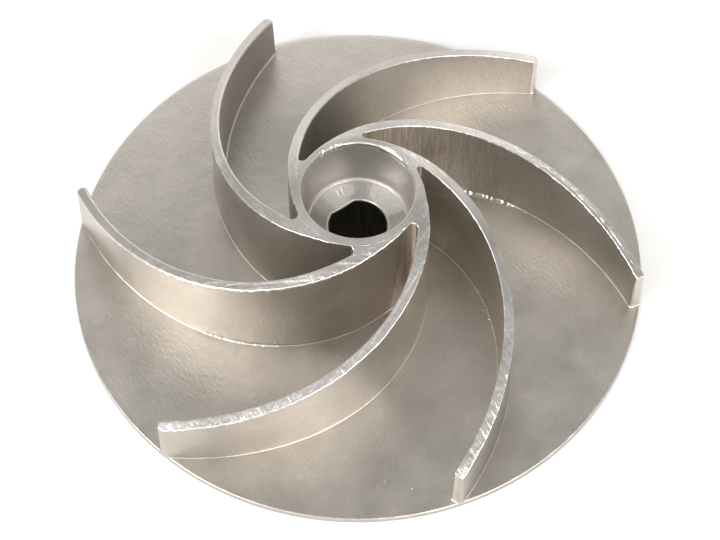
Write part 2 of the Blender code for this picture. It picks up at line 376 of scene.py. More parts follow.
plateAndHub = {
    "columns": 360,               # one a degree, from half a degree
    "boreRadius": 10.05 * mm,
    "flatDistance": 8.9 * mm,     # from the axis to the flat of the bore
    "flatAngle": 125.0,
    "boreChamfer": 1.0 * mm,
    "mouthHeight": 26.5 * mm,     # top of the bore, above the back face
    "mouthRound": 0.9 * mm,       # rounded edge where the seat falls into the bore
    "ledgeHeight": 28.7 * mm,     # crest of the lip round the seat
    "ledgeRadius": 17.3 * mm,
    "ledgeLip": 0.35 * mm,        # half width of that lip
    "bowlFootWidth": 1.3 * mm,    # the bowl's wall curves in by this much over bowlFootHeight
    "bowlFootHeight": 9.0 * mm,
    "footRadius": 22.6 * mm,
    "footRound": 0.9 * mm,
    "rimRound": 0.5 * mm,
    # torn edges, widened and paler; on the bowl's rim their paleness is also a painted highlight: degrees
    # at the middle, half width in degrees and strength
    "bowlLipsAndHighlights": [(50, 18, 1.6), (86, 18, 0.5), (12, 20, 0.5), (345, 20, 0.3)],
    "bowlBeadsAndHighlights": [(119, 12, 1.2)],
    "hubLips": [(305, 18, 0.8), (65, 18, 0.5), (5, 18, 0.3)],
    "rimLips": [(235, 45, 0.3), (300, 35, 0.5), (340, 18, 0.3), (190, 20, 0.15)],
    "tornWidening": 1.8,          # how much wider a fully torn edge is
    "bowlEdgeRound": 0.42 * mm,
    # painted light and, below nought, painted shade on the bowl's foot and wall, the seat and the hub's wall
    "bowlFootPale": [(60, 32, 0.3), (122, 20, 0.2), (178, 25, -0.1), (20, 20, 0.15)],
    "bowlPale": [(178, 40, -0.25), (120, 30, -0.3), (60, 20, -0.2), (0, 40, -0.2)],
    "seatPale": [(122, 17, 1.0), (45, 22, 1.0), (185, 24, -0.7), (90, 12, 0.1), (0, 20, -0.2)],
    "wallPale": [(305, 14, 0.2)],
    # painted shade on the plate: radius, degrees, reach in mm and amount
    "platePale": [(63, 137, 34, -0.25), (58, 118, 16, -0.2), (48, 100, 16, -0.45), (68, 180, 22, -0.2)],
    # short strokes across the seat: degrees at the middle, half width in degrees and height in mm
    "seatStrokes": [(112, 14, 0.16), (68, 7, 0.12)],
}


def placed(angle, places):
    # strongest of amount * smoothStep(1.5 - distance / half width) over the places
    strength = np.zeros_like(angle)
    for centre, halfWidth, amount in places:
        here = amount * smoothStep(1.5 - np.abs(turnedFrom(np.degrees(angle), centre)) / halfWidth)
        strength = np.where(np.abs(here) > np.abs(strength), here, strength)
    return strength


def lipStrength(angle, places, radius, beadSize, breaks, seed):
    # the placed strength times 1 - breaks / 2 + breaks * noise along the ring
    ring = np.stack([radius * np.cos(angle), radius * np.sin(angle), np.zeros_like(angle)], axis=-1)
    beads = np.clip(1 - 0.5 * breaks + breaks * latticeNoise(ring, beadSize, seed), 0, 1.2)
    return placed(angle, places) * beads


def turnedSurface(sizes):
    # point(i, j) = (r cos a, r sin a, z): r and z run along the closed profile with i, the angle a turns
    # with j, and the bore's radius is the lesser of its circle and flatDistance / cos(a - flatAngle)
    angle = np.radians(np.arange(sizes["columns"]) * 360 / sizes["columns"] + 0.5)
    fromFlat = np.radians(turnedFrom(np.degrees(angle), sizes["flatAngle"]))
    bore = np.full(angle.shape, sizes["boreRadius"])
    facing = np.abs(fromFlat) < math.radians(60)
    bore[facing] = np.minimum(bore[facing], sizes["flatDistance"] / np.cos(fromFlat[facing]))
    bowlRim, hubRim = casting["bowlRimRadius"], casting["hubRadius"]
    bowlBeadsAndHighlights = lipStrength(angle, sizes["bowlBeadsAndHighlights"], bowlRim, 0.9 * mm, 1.6, 61)
    bowlLipAndHighlight = placed(angle, sizes["bowlLipsAndHighlights"]) + bowlBeadsAndHighlights
    hubLip = lipStrength(angle, sizes["hubLips"], hubRim, 1.1 * mm, 0.9, 62)
    rimLip = lipStrength(angle, sizes["rimLips"], outerRadius, 1.4 * mm, 1.4, 63)
    ringPale = placed(angle, casting["ringPale"])
    bowlFootPale, bowlPale, seatPale, wallPale = (placed(angle, sizes[key]) for key in
                                                  ("bowlFootPale", "bowlPale", "seatPale", "wallPale"))
    ones, none = np.ones_like(angle), np.zeros_like(angle)
    bowlEdge = sizes["bowlEdgeRound"] * (1 + sizes["tornWidening"] * bowlLipAndHighlight)
    hubEdge = casting["edgeRound"] * (1 + sizes["tornWidening"] * hubLip)
    rows = []

    def addRows(radius, height, finish, wearAndPaintedLight=none):
        count = np.broadcast(radius, height).shape[0]
        rows.append((radius * ones, height * ones, np.full(count, finish), wearAndPaintedLight * np.ones((count, 1))))

    def line(count, startR, startZ, endR, endZ, finish, wearAndPaintedLight=none, power=1.0):
        t = (np.linspace(0, 1, count, endpoint=False) ** power)[:, None]
        addRows(startR + (endR - startR) * t, startZ + (endZ - startZ) * t, finish, wearAndPaintedLight)

    def arc(count, centreR, centreZ, acrossR, acrossZ, start, end, finish, wearAndPaintedLight=none):
        t = np.radians(np.linspace(start, end, count, endpoint=False))[:, None]
        addRows(centreR + acrossR * np.cos(t), centreZ + acrossZ * np.sin(t), finish, wearAndPaintedLight)

    def brokenEdge(radius, side, edge, lip):
        # quarter circle of radius edge, ending in the turned cone
        t = np.linspace(0, math.pi / 2, 7)[:, None]
        t = t if side > 0 else t[::-1]
        start = radius - side * edge
        addRows(start + side * edge * np.sin(t), topHeight(start) - edge * (1 - np.cos(t)), castIndex, lip)

    plate = casting["plateThickness"]
    ledgeR, ledgeZ, lipHalf = sizes["ledgeRadius"], sizes["ledgeHeight"], sizes["ledgeLip"]
    mouthRound = sizes["mouthRound"]
    mouthR = bore + mouthRound
    slope = (ledgeZ - lipHalf - sizes["mouthHeight"]) / (ledgeR - lipHalf - sizes["boreRadius"])
    mouthZ = sizes["mouthHeight"] + slope * (mouthR - sizes["boreRadius"])
    footR, footRound, rimRound = sizes["footRadius"], sizes["footRound"], sizes["rimRound"]
    arc(6, mouthR, mouthZ - mouthRound, mouthRound, mouthRound, 180, 95, seatIndex, 0.3 * ones)
    line(14, mouthR, mouthZ, ledgeR - lipHalf, ledgeZ - lipHalf, seatIndex, seatPale)
    arc(10, ledgeR, ledgeZ - lipHalf, lipHalf, lipHalf, 180, 0, castIndex, 0.7 * ones)
    bowlR = ledgeR + lipHalf
    footWidth, footHeight = bowlRim - bowlR, sizes["bowlFootHeight"]
    wallTop = topHeight(bowlRim)
    upward = np.linspace(0, 1, 14)[:, None]
    arc(14, bowlR, ledgeZ - lipHalf + footHeight, footWidth, footHeight, -90, 0, bowlIndex,
        bowlFootPale * (1 - upward) + bowlPale * upward)
    line(12, bowlRim, ledgeZ - lipHalf + footHeight, bowlRim, wallTop - 2.0 * mm, bowlIndex, bowlPale)
    brokenEdge(bowlRim, -1, bowlEdge, bowlLipAndHighlight)
    line(10, bowlRim + bowlEdge, topHeight(bowlRim + bowlEdge), hubRim - hubEdge, topHeight(hubRim - hubEdge),
         turnedIndex, ringPale)
    brokenEdge(hubRim, 1, hubEdge, hubLip)
    line(18, hubRim, topHeight(hubRim) - 1.0 * mm, footR, plate + footRound, castIndex, wallPale)
    arc(9, footR + footRound, plate + footRound, footRound, footRound, 180, 270, castIndex)
    line(86, footR + footRound, plate, outerRadius - rimRound, plate, castIndex)
    arc(5, outerRadius - rimRound, plate - rimRound, rimRound, rimRound, 90, 0, castIndex, rimLip)
    # the rim's side and its lower round are given painted shade
    line(3, outerRadius, plate - rimRound, outerRadius, rimRound, castIndex, -0.25 * ones)
    arc(5, outerRadius - rimRound, rimRound, rimRound, rimRound, 0, -90, castIndex, -0.6 * ones)
    chamfer = sizes["boreRadius"] + sizes["boreChamfer"]
    line(40, outerRadius - rimRound, 0.0, chamfer, 0.0, turnedIndex, 0.35 * ones)
    line(3, chamfer, 0.0, bore, chamfer - bore, turnedIndex, 0.35 * ones)
    line(14, bore, chamfer - bore, bore, mouthZ - mouthRound, boreIndex)
    radius, height = (np.vstack([row[k] for row in rows]) for k in (0, 1))
    finish = np.concatenate([row[2] for row in rows])
    wearAndPaintedLight = np.vstack([row[3] for row in rows])
    points = np.stack([radius * np.cos(angle), radius * np.sin(angle), height], axis=-1)
    return points, radius, height, finish, wearAndPaintedLight


def makePlateAndHub(sizes):
    # height = the turned surface's, plus the cast skin on the plate's front, the tool marks on the ring and
    # the strokes on the seat
    points, radius, height, finish, wearAndPaintedLight = turnedSurface(sizes)
    plate = casting["plateThickness"]
    front = (radius > sizes["footRadius"]) & (radius < outerRadius - 0.2 * mm) & (height > plate - 0.1 * mm)
    fade = smoothStep((outerRadius - radius) / (2 * mm))
    points[..., 2] += np.where(front, castSkin(points) * fade, 0.0)
    land = (height > topHeight(radius) - 0.01 * mm) & (radius > casting["bowlRimRadius"])
    marks = casting["toolMarkDepth"] * toolMarks(radius) * (land & (radius < casting["hubRadius"] - 1.0 * mm))
    points[..., 2] += np.minimum(marks, hubHeight - points[..., 2])
    # the seat's strokes: placed height times lattice noise along the ring, strongest half way out
    angle = np.arctan2(points[..., 1], points[..., 0])
    seat = (finish == seatIndex)[:, None] & (radius < sizes["ledgeRadius"] - 0.5 * mm)
    ring = np.stack([16 * mm * np.cos(angle), 16 * mm * np.sin(angle), 0 * angle], axis=-1)
    strokes = placed(angle, sizes["seatStrokes"]) * seat
    strokes *= np.clip(3.5 * np.abs(latticeNoise(ring, 0.8 * mm, 67)) - 0.5, 0, 1)
    strokes *= smoothStep((radius / mm - 11.5) / 2) * smoothStep((16.8 - radius / mm) / 2)
    points[..., 2] += strokes * mm
    wearAndPaintedLight = wearAndPaintedLight + np.minimum(strokes / 0.06, 1)
    # painted shade on the plate: sum of amount * e^(-(distance / reach)^2)
    for middle, around, reach, amount in sizes["platePale"]:
        place = middle * mm * np.array([math.cos(math.radians(around)), math.sin(math.radians(around))])
        distance = np.hypot(points[..., 0] - place[0], points[..., 1] - place[1]) / (reach * mm)
        wearAndPaintedLight = wearAndPaintedLight + amount * np.exp(-distance ** 2) * front
    rows, columns = radius.shape
    faces = gridFaces(rows, columns, True, True)
    faceMaterials = np.repeat(finish, columns)
    return makeObject("plate_and_hub", points.reshape(-1, 3), faces, faceMaterials, finishes,
                      {"wearAndPaintedLight": wearAndPaintedLight, "stain": stained(points)})


plateHub = makePlateAndHub(plateAndHub)
print("plate and hub made")


# Vanes: each is a plan outline walked once round, carrying a wall profile, with a lid on its turned top

vane = {
    "firstAngle": 109.6,
    "firstAngleRadius": 98.4 * mm,    # where the first vane's middle line crosses that angle
    "pathStart": 100.6 * mm,
    "rootRadius": 20.0 * mm,
    "bladeRadii": [21 * mm, 25 * mm, 32 * mm, 45 * mm, 70 * mm, 100 * mm],
    "bladeAngles": [14.0, 26.5, 37.5, 41.0, 38.5, 35.5],      # from the tangent
    "thicknessRadii": [30 * mm, 45 * mm, 100 * mm],
    "thicknesses": [3.85 * mm, 3.3 * mm, 3.25 * mm],
    "wideFrom": 75 * mm,          # radius past which a vane's own tip width begins to tell
    "stations": 380,
    "noseSteps": 12,
    "lidColumns": 10,
    "wallRows": 16,
    "footRows": 12,
    "footRadii": [30 * mm, 70 * mm],
    "footRounds": [0.5 * mm, 0.6 * mm],
    "drafts": [0.0 * mm, 0.35 * mm],   # how much further out a side stands at its foot than at its top
    "innerLimit": 20.4 * mm,      # middle of the hub's wall, where the vane's inner side stops
    "rootThinning": 0.5 * mm,     # off the outer side, from thinFrom inward
    "thinFrom": 27 * mm,
    "hubBlend": 1.5 * mm,         # reach of the smooth join of the outer side with the hub's wall
    "slotRound": 1.6 * mm,        # rounded end of the slot between a vane and the hub
    "beadHeight": 0.15 * mm,      # thin raised line in the foot's round
    "beadWidth": 0.13 * mm,
    "beadPlace": 50.0,            # degrees down the foot's round from the wall
    "toothHeight": 0.45 * mm,     # and the teeth that break it up
    "toothWidth": 0.55 * mm,
    "landRise": 0.005 * mm,       # how far a vane's top stands over the hub's ring at the ring's edge
    "landDip": 0.06 * mm,         # and how far it lies under the ring further in
    "strokeDepth": 0.06 * mm,
    "ridgePlace": 0.42,           # share of a vane's width from its inner side
    "ridgeRadii": [66 * mm, 72 * mm, 94 * mm, 98 * mm],
    "zoneRadii": [24 * mm, 60 * mm, 98 * mm],     # hub, middle and tip, for the three numbers below
}

# One entry a vane: how far its tip reaches past firstAngleRadius, the rounds of the tip in plan and at the
# top and the height of a torn ridge along its top, in mm, and how much wider than the others its tip is.
# "skin" is the radius in mm past which its top keeps the casting's skin, and "comb" has the two radii
# between which strong teeth break up its feet, and how strongly. Each set of three is at hub, middle and
# tip: the width of the broken edge in mm, the round at its feet against the others', the torn lips, foot
# beads and painted light or, below nought, painted shade of its inner and outer sides, the streaks on its
# walls and the brightness of its turned top. "slot" is the lip round the end of its slot
vaneWear = [
    {"reach": 0.7, "nose": 1.6, "crown": 2.6, "ridge": 0.0, "width": 1.2,
     "skin": 50, "comb": [0, 0, 0.0], "edge": (0.36, 0.55, 0.85), "foot": (1.0, 1.3, 1.3),
     "inner": (0.05, 0.0, 0.0), "innerBead": (0.1, 0.9, 0.9), "innerPale": (-0.4, -0.15, 0.0),
     "outer": (1.0, 0.15, 0.0), "outerBead": (0.3, 0.6, 0.3), "outerPale": (0.0, 0.0, 0.0),
     "streak": (0.0, 0.05, 0.05), "land": (0.6, 0.3, 0.35), "slot": 0.1},
    {"reach": 1.0, "nose": 1.6, "crown": 1.0, "ridge": 0.0, "width": 1.1,
     "skin": 26, "comb": [0, 0, 0.0], "edge": (0.5, 0.55, 0.45), "foot": (1.0, 0.8, 0.8),
     "inner": (0.0, 0.4, 1.2), "innerBead": (0.1, 0.1, 0.1), "innerPale": (-2.0, 0.3, 0.25),
     "outer": (0.1, 0.05, 0.0), "outerBead": (0.2, 0.3, 0.3), "outerPale": (0.0, 0.0, 0.0),
     "streak": (0.0, 0.1, 0.15), "land": (0.15, 0.3, 0.3), "slot": 0.0},
    {"reach": 0.1, "nose": 0.5, "crown": 0.3, "ridge": 0.22, "width": 1.0,
     "skin": 200, "comb": [43, 64, 1.0], "edge": (0.4, 0.35, 0.35), "foot": (1.0, 1.0, 1.0),
     "inner": (0.7, 1.0, 1.3), "innerBead": (0.8, 0.8, 0.6), "innerPale": (0.3, 0.0, 0.0),
     "outer": (0.1, 0.3, 0.6), "outerBead": (0.2, 0.2, 0.2), "outerPale": (0.0, 0.0, 0.0),
     "streak": (1.6, 0.3, 0.1), "land": (0.3, 0.4, 0.6), "slot": 0.2},
    {"reach": 0.3, "nose": 0.5, "crown": 0.3, "ridge": 0.0, "width": 1.0,
     "skin": 200, "comb": [0, 0, 0.0], "edge": (0.3, 0.35, 0.4), "foot": (1.0, 1.0, 1.0),
     "inner": (0.7, 0.9, 0.8), "innerBead": (0.3, 0.6, 0.5), "innerPale": (0.0, 0.0, 0.0),
     "outer": (0.1, 0.2, 0.9), "outerBead": (0.0, 0.0, 0.1), "outerPale": (0.0, -0.3, -0.3),
     "streak": (0.1, 0.1, 0.1), "land": (0.4, 0.4, 2.2), "slot": 0.4},
    {"reach": 1.2, "nose": 0.5, "crown": 0.3, "ridge": 0.0, "width": 1.0,
     "skin": 200, "comb": [0, 0, 0.0], "edge": (0.35, 0.4, 0.4), "foot": (1.0, 0.8, 0.8),
     "inner": (0.7, 0.4, 0.7), "innerBead": (0.1, 0.2, 0.2), "innerPale": (0.1, 0.0, 0.0),
     "outer": (1.0, 1.2, 1.1), "outerBead": (0.2, 0.2, 0.1), "outerPale": (0.0, 0.3, -0.3),
     "streak": (0.3, 0.1, 0.1), "land": (0.9, 1.1, 0.8), "slot": 1.0},
    {"reach": 0.9, "nose": 1.4, "crown": 1.6, "ridge": 0.0, "width": 1.15,
     "skin": 78, "comb": [40, 62, 0.45], "edge": (0.4, 0.65, 0.9), "foot": (1.0, 0.75, 0.75),
     "inner": (0.3, 0.0, 0.0), "innerBead": (0.2, 0.2, 0.2), "innerPale": (0.0, 0.0, 0.0),
     "outer": (1.2, 1.3, 0.3), "outerBead": (0.4, 0.5, 0.1), "outerPale": (-0.2, 0.25, 0.0),
     "streak": (0.05, 0.1, 0.1), "land": (1.0, 0.8, 0.45), "slot": 1.0},
]


def vanePath(sizes, endRadius):
    # the blade angle b at radius r turns the middle line by dr / (r tan b) about the axis
    radius = np.linspace(sizes["pathStart"], sizes["rootRadius"], 3000)
    blade = np.radians(np.interp(radius, sizes["bladeRadii"], sizes["bladeAngles"]))
    rate = 1 / (radius * np.tan(blade))
    angle = np.concatenate([[0], np.cumsum((rate[1:] + rate[:-1]) / 2 * -np.diff(radius))])
    start = np.interp(-sizes["firstAngleRadius"], -radius, angle)
    angle += math.radians(sizes["firstAngle"]) - start
    keep = radius <= endRadius
    radius, angle, blade = radius[keep], angle[keep], blade[keep]
    middle = np.column_stack([radius * np.cos(angle), radius * np.sin(angle)])
    run = np.concatenate([[0], np.cumsum(np.hypot(*np.diff(middle, axis=0).T))])
    return run, middle, angle + math.pi / 2 + blade, radius


def vaneSides(sizes, wear):
    # side = middle line plus or minus half the thickness along the plan normal, both drawn in by the edge's
    # round, and by the tip's nose: with p from 0 to a right angle, the distance along is nose less
    # (nose - edge) cos p and the half width falls short by (nose - edge)(1 - sin p)
    run, middle, heading, radius = vanePath(sizes, sizes["firstAngleRadius"] + wear["reach"] * mm)
    nose, tipEdge = wear["nose"] * mm, wear["edge"][2] * mm
    turn = np.linspace(0, math.pi / 2, sizes["noseSteps"])
    small = max(nose - tipEdge, 0.02 * mm)
    at = np.concatenate([tipEdge + small * (1 - np.cos(turn)),
                         np.linspace(tipEdge + small, run[-1], sizes["stations"])[1:]])
    shortfall = np.concatenate([small * (1 - np.sin(turn)), np.zeros(sizes["stations"] - 1)])
    lean = np.concatenate([math.pi / 2 - turn, np.zeros(sizes["stations"] - 1)])
    along, across, facing, r = (np.interp(at, run, v) for v in (middle[:, 0], middle[:, 1], heading, radius))
    middle = np.column_stack([along, across])
    forward = np.column_stack([np.cos(facing), np.sin(facing)])
    normal = np.column_stack([-np.sin(facing), np.cos(facing)])
    half = np.interp(r, sizes["thicknessRadii"], sizes["thicknesses"])[:, None] / 2
    half = half * np.interp(r, [sizes["wideFrom"], outerRadius], [1.0, wear["width"]])[:, None]
    edge = zoned(r, wear["edge"], sizes)[:, None] * mm
    width = half - edge - shortfall[:, None]
    innerNormal = normal * np.cos(lean)[:, None] - forward * np.sin(lean)[:, None]
    outerNormal = -normal * np.cos(lean)[:, None] - forward * np.sin(lean)[:, None]
    thinner = sizes["rootThinning"] * smoothStep((sizes["thinFrom"] - r) / (5 * mm))
    inner, outer = middle + width * normal, middle - (width - thinner[:, None]) * normal
    return at, r, inner, innerNormal, outer, outerNormal, forward, middle + half * normal, normal


def joinHub(outer, outerNormal, sizes, edge):
    # radius of the outer side becomes the smooth greater of itself a and the hub's radius b:
    # b (1 - h) + a h + k h (1 - h), with h = 1/2 + (a - b) / 2k held between 0 and 1
    radius = np.hypot(*outer.T)
    floor, reach = casting["hubRadius"] - edge, sizes["hubBlend"]
    h = np.clip(0.5 + 0.5 * (radius - floor) / reach, 0, 1)
    joined = floor * (1 - h) + radius * h + reach * h * (1 - h)
    moved = outer / radius[:, None] * joined[:, None]
    step = np.gradient(moved, axis=0)
    turned = np.column_stack([step[:, 1], -step[:, 0]]) / np.hypot(*step.T)[:, None]
    near = (h < 1)[:, None]
    return moved, np.where(near, turned, outerNormal)


def zoned(radius, values, sizes):
    # straight lines along the radius between the values at hub, middle and tip
    return np.interp(radius, sizes["zoneRadii"], values)


def landHeight(xy, drop, edge, sizes, wearAndPaintedLight):
    # the turned cone, less the tip's round, plus a small rise which turns to a dip inside the hub's ring,
    # plus the file's strokes
    radius = np.hypot(xy[..., 0], xy[..., 1])
    outside = smoothStep((radius - casting["hubRadius"]) / (2 * mm))
    inside = smoothStep((casting["hubRadius"] - 0.5 * mm - radius) / (2 * mm))
    flat = np.stack([xy[..., 0], xy[..., 1], 0 * radius], axis=-1)
    strokes = sizes["strokeDepth"] * wearAndPaintedLight * (fileStrokes(xy) + 0.6 * latticeNoise(flat, 1.1 * mm, 77))
    return topHeight(radius) - drop + sizes["landRise"] - sizes["landDip"] * inside + strokes * outside


def uprightSolid(left, right, drop, startNormal, endNormal, sizes, seed, ridge=0.0, skinFrom=1.0):
    # wall(u, v) = line(u) + offset(v) normal(u) at height(v), round the plan outline u;
    # lid(i, j) = left(i) + j/m (right(i) - left(i)) at the land's height. The columns of left and right
    # are x, y, normal x, normal y, edge, lip, foot, bead, comb, streak, wall painted shading and land
    # brightness
    count, columns = len(left), sizes["lidColumns"] + 1
    share = np.linspace(0, 1, columns)[:, None]

    def endStrip(first, last, normal):
        strip = first + (last - first) * share
        strip[:, 2:4] = normal
        strip[:, 7] *= 0.1
        return strip[1:-1]

    loop = np.vstack([left[::-1], endStrip(left[0], right[0], startNormal), right,
                      endStrip(right[-1], left[-1], endNormal)])
    fall = np.concatenate([drop[::-1], np.full(columns - 2, drop[0]), drop, np.full(columns - 2, drop[-1])])
    xy, normal = loop[:, :2], loop[:, 2:4]
    edge, lip, foot, bead, comb, streak, paintedShading, wearAndPaintedLight = loop[:, 4:12].T
    draft = np.interp(np.hypot(*xy.T), sizes["footRadii"], sizes["drafts"])
    flat = np.column_stack([xy, np.zeros(len(xy))])
    radius = np.hypot(*xy.T)
    outside = smoothStep((radius - casting["hubRadius"] + edge) / (0.8 * mm))
    tear = (0.55 + 0.6 * fileStrokes(xy) + 0.9 * latticeNoise(flat, 1.1 * mm, seed)
            + 0.4 * latticeNoise(flat, 5.0 * mm, seed + 1))
    lip = lip * np.clip(tear, 0, 1.3) * outside
    teeth = comb * np.clip(0.3 + 2.2 * latticeNoise(flat, 0.8 * mm, seed + 2), 0, 1)
    bead = bead * (0.7 + 0.35 * latticeNoise(flat, 6.0 * mm, seed + 3))
    plate = casting["plateThickness"]
    top = landHeight(xy, fall, edge, sizes, wearAndPaintedLight)
    rows = []
    for t in np.linspace(0, math.pi / 2, 6):
        rows.append((edge * math.sin(t) + lip * casting["lipReach"] * math.sin(t) ** 2,
                     top - edge * (1 - math.cos(t)) + lip * casting["lipRise"] * math.sin(2 * t),
                     lip * math.sin(t) + wearAndPaintedLight * 0.5 * math.cos(t)))
    # wall rows: the torn lip, with the side's painted light and, below nought, its painted shade
    for t in (np.arange(1, sizes["wallRows"] + 1) / sizes["wallRows"]) ** 1.7:
        height = (top - edge) + (plate + foot - top + edge) * t
        fade = np.exp(-((top - edge - height) / (0.35 * mm)) ** 2)
        rows.append((edge + draft * t + lip * casting["lipReach"] * fade, height,
                     np.maximum(lip * fade, paintedShading) + np.minimum(paintedShading, 0)))
    place, width = math.radians(sizes["beadPlace"]), sizes["beadWidth"] * (1 + 2 * np.clip(bead - 0.6, 0, 1))
    # foot rows: beads and teeth, with the side's painted light and shade fading down the round
    for t in np.linspace(0, math.pi / 2, sizes["footRows"] + 1)[1:]:
        swell = bead * np.exp(-((t - place) * foot / width) ** 2 / 2)
        tooth = teeth * np.exp(-((t - 0.8) * foot / sizes["toothWidth"]) ** 2 / 2)
        raised = foot - np.minimum(sizes["beadHeight"] * swell + sizes["toothHeight"] * tooth, 0.75 * foot)
        rows.append((edge + draft + foot - raised * math.cos(t), plate + foot - raised * math.sin(t),
                     np.maximum(np.maximum(swell, tooth), paintedShading * (1 - math.sin(t)) ** 2)
                     + np.minimum(paintedShading, 0) * (1 - math.sin(t))))
    under = np.full(len(xy), plate - 1.0 * mm)
    rows += [(edge + draft + foot, under, 0 * bead), (0 * edge, under, 0 * bead)]
    offset, height, shine = (np.stack([row[k] for row in rows], axis=1) for k in range(3))
    points = np.empty(offset.shape + (3,))
    points[..., :2] = xy[:, None] + offset[..., None] * normal[:, None]
    points[..., 2] = height
    skin = castSkin(points)
    upright = np.clip((height - plate) / foot[:, None], 0, 1)
    body = np.zeros(offset.shape[1])
    body[6:-2] = 1
    points[..., :2] += (skin * body * upright)[..., None] * normal[:, None]
    points[..., 2] += skin * (1 - upright) * (height > plate - 0.01 * mm)

    lid = left[:, None] * (1 - share[None]) + right[:, None] * share[None]
    lidTop = landHeight(lid[..., :2], drop[:, None], lid[..., 4], sizes, lid[..., 11])
    # a torn ridge along the top: height * e^(-((share - place) / 0.09)^2), between the ridge's radii
    lidRadius = np.hypot(lid[..., 0], lid[..., 1])
    torn = np.exp(-((share[None, :, 0] - sizes["ridgePlace"]) / 0.1) ** 2) * (ridge > 0)
    torn = torn * np.interp(lidRadius, sizes["ridgeRadii"], [0, 1, 1, 0])
    torn = torn * np.clip(0.85 + 0.3 * latticeNoise(lid[..., :3] * (1, 1, 0), 2 * mm, seed + 5), 0, 1.2)
    lidTop = lidTop + ridge * torn
    verts = np.vstack([points.reshape(-1, 3), np.dstack([lid[..., :2], lidTop]).reshape(-1, 3),
                       np.dstack([lid[..., :2], np.full(lidTop.shape, under[0])]).reshape(-1, 3)])
    strokes = np.clip(0.5 + 0.9 * fileStrokes(lid[..., :2]), 0, 1) * (0.4 + 0.9 * share[None, :, 0])
    strokes = np.maximum(lid[..., 11] * np.where(lidRadius > skinFrom, 0.8, strokes), 1.4 * torn)
    shine = np.concatenate([shine.ravel(), strokes.ravel(), np.zeros(lidTop.size)])
    streak = np.concatenate([np.repeat(streak, offset.shape[1]), np.zeros(2 * lidTop.size)])
    lidFaces = gridFaces(count, columns, False, False)
    wallFaces = gridFaces(len(xy), offset.shape[1], True, False)
    lidStart = points[..., 0].size
    faces = np.vstack([wallFaces, lidFaces + lidStart, lidFaces + lidStart + lidTop.size])
    lidFinish = np.where(lidRadius.ravel()[lidFaces[:, 0]] > skinFrom, castIndex, turnedIndex)
    faceMaterials = np.concatenate([np.full(len(wallFaces), castIndex), lidFinish,
                                    np.full(len(lidFaces), castIndex)])
    return verts, faces, faceMaterials, shine, streak


def slotEnd(sizes, wear, wall, wallNormal):
    # rounded end of the slot: its circle touches the vane's inner wall and the hub's wall, so its centre is
    # where wall + round * normal is the hub's radius plus the round from the axis
    size = sizes["slotRound"]
    centres = wall + size * wallNormal
    away = np.hypot(*centres.T) - (casting["hubRadius"] + size)
    first = int(np.argmax(away < 0))
    mix = away[first - 1] / (away[first - 1] - away[first])
    centre = centres[first - 1] * (1 - mix) + centres[first] * mix
    toWall = -wallNormal[first]
    toHub = -centre / np.hypot(*centre)
    start = math.atan2(toWall[1], toWall[0])
    turn = (math.atan2(toHub[1], toHub[0]) - start + math.pi) % (2 * math.pi) - math.pi
    angle = start + turn * np.linspace(0, 1, 30)
    out = np.column_stack([np.cos(angle), np.sin(angle)])
    edge = casting["edgeRound"]
    middle = np.array([math.cos(start + turn / 2), math.sin(start + turn / 2)])
    apex = centre + middle * (size / math.cos(turn / 2) + 3.0 * mm)
    count = len(angle)
    rest = np.tile([edge, 0.0, sizes["footRounds"][0], 0.0, 0.0, 0.2, 0.1, 0.0], (count, 1))
    left = np.column_stack([centre + out * (size + edge), -out, rest])
    left[:, 5] = wear["slot"]
    right = np.column_stack([np.tile(apex, (count, 1)), np.tile(middle, (count, 1)), rest])
    sideways = np.array([-middle[1], middle[0]])
    toStart = sideways if sideways @ out[0] > 0 else -sideways
    return left, right, np.full(count, 0.015 * mm), toStart, -toStart


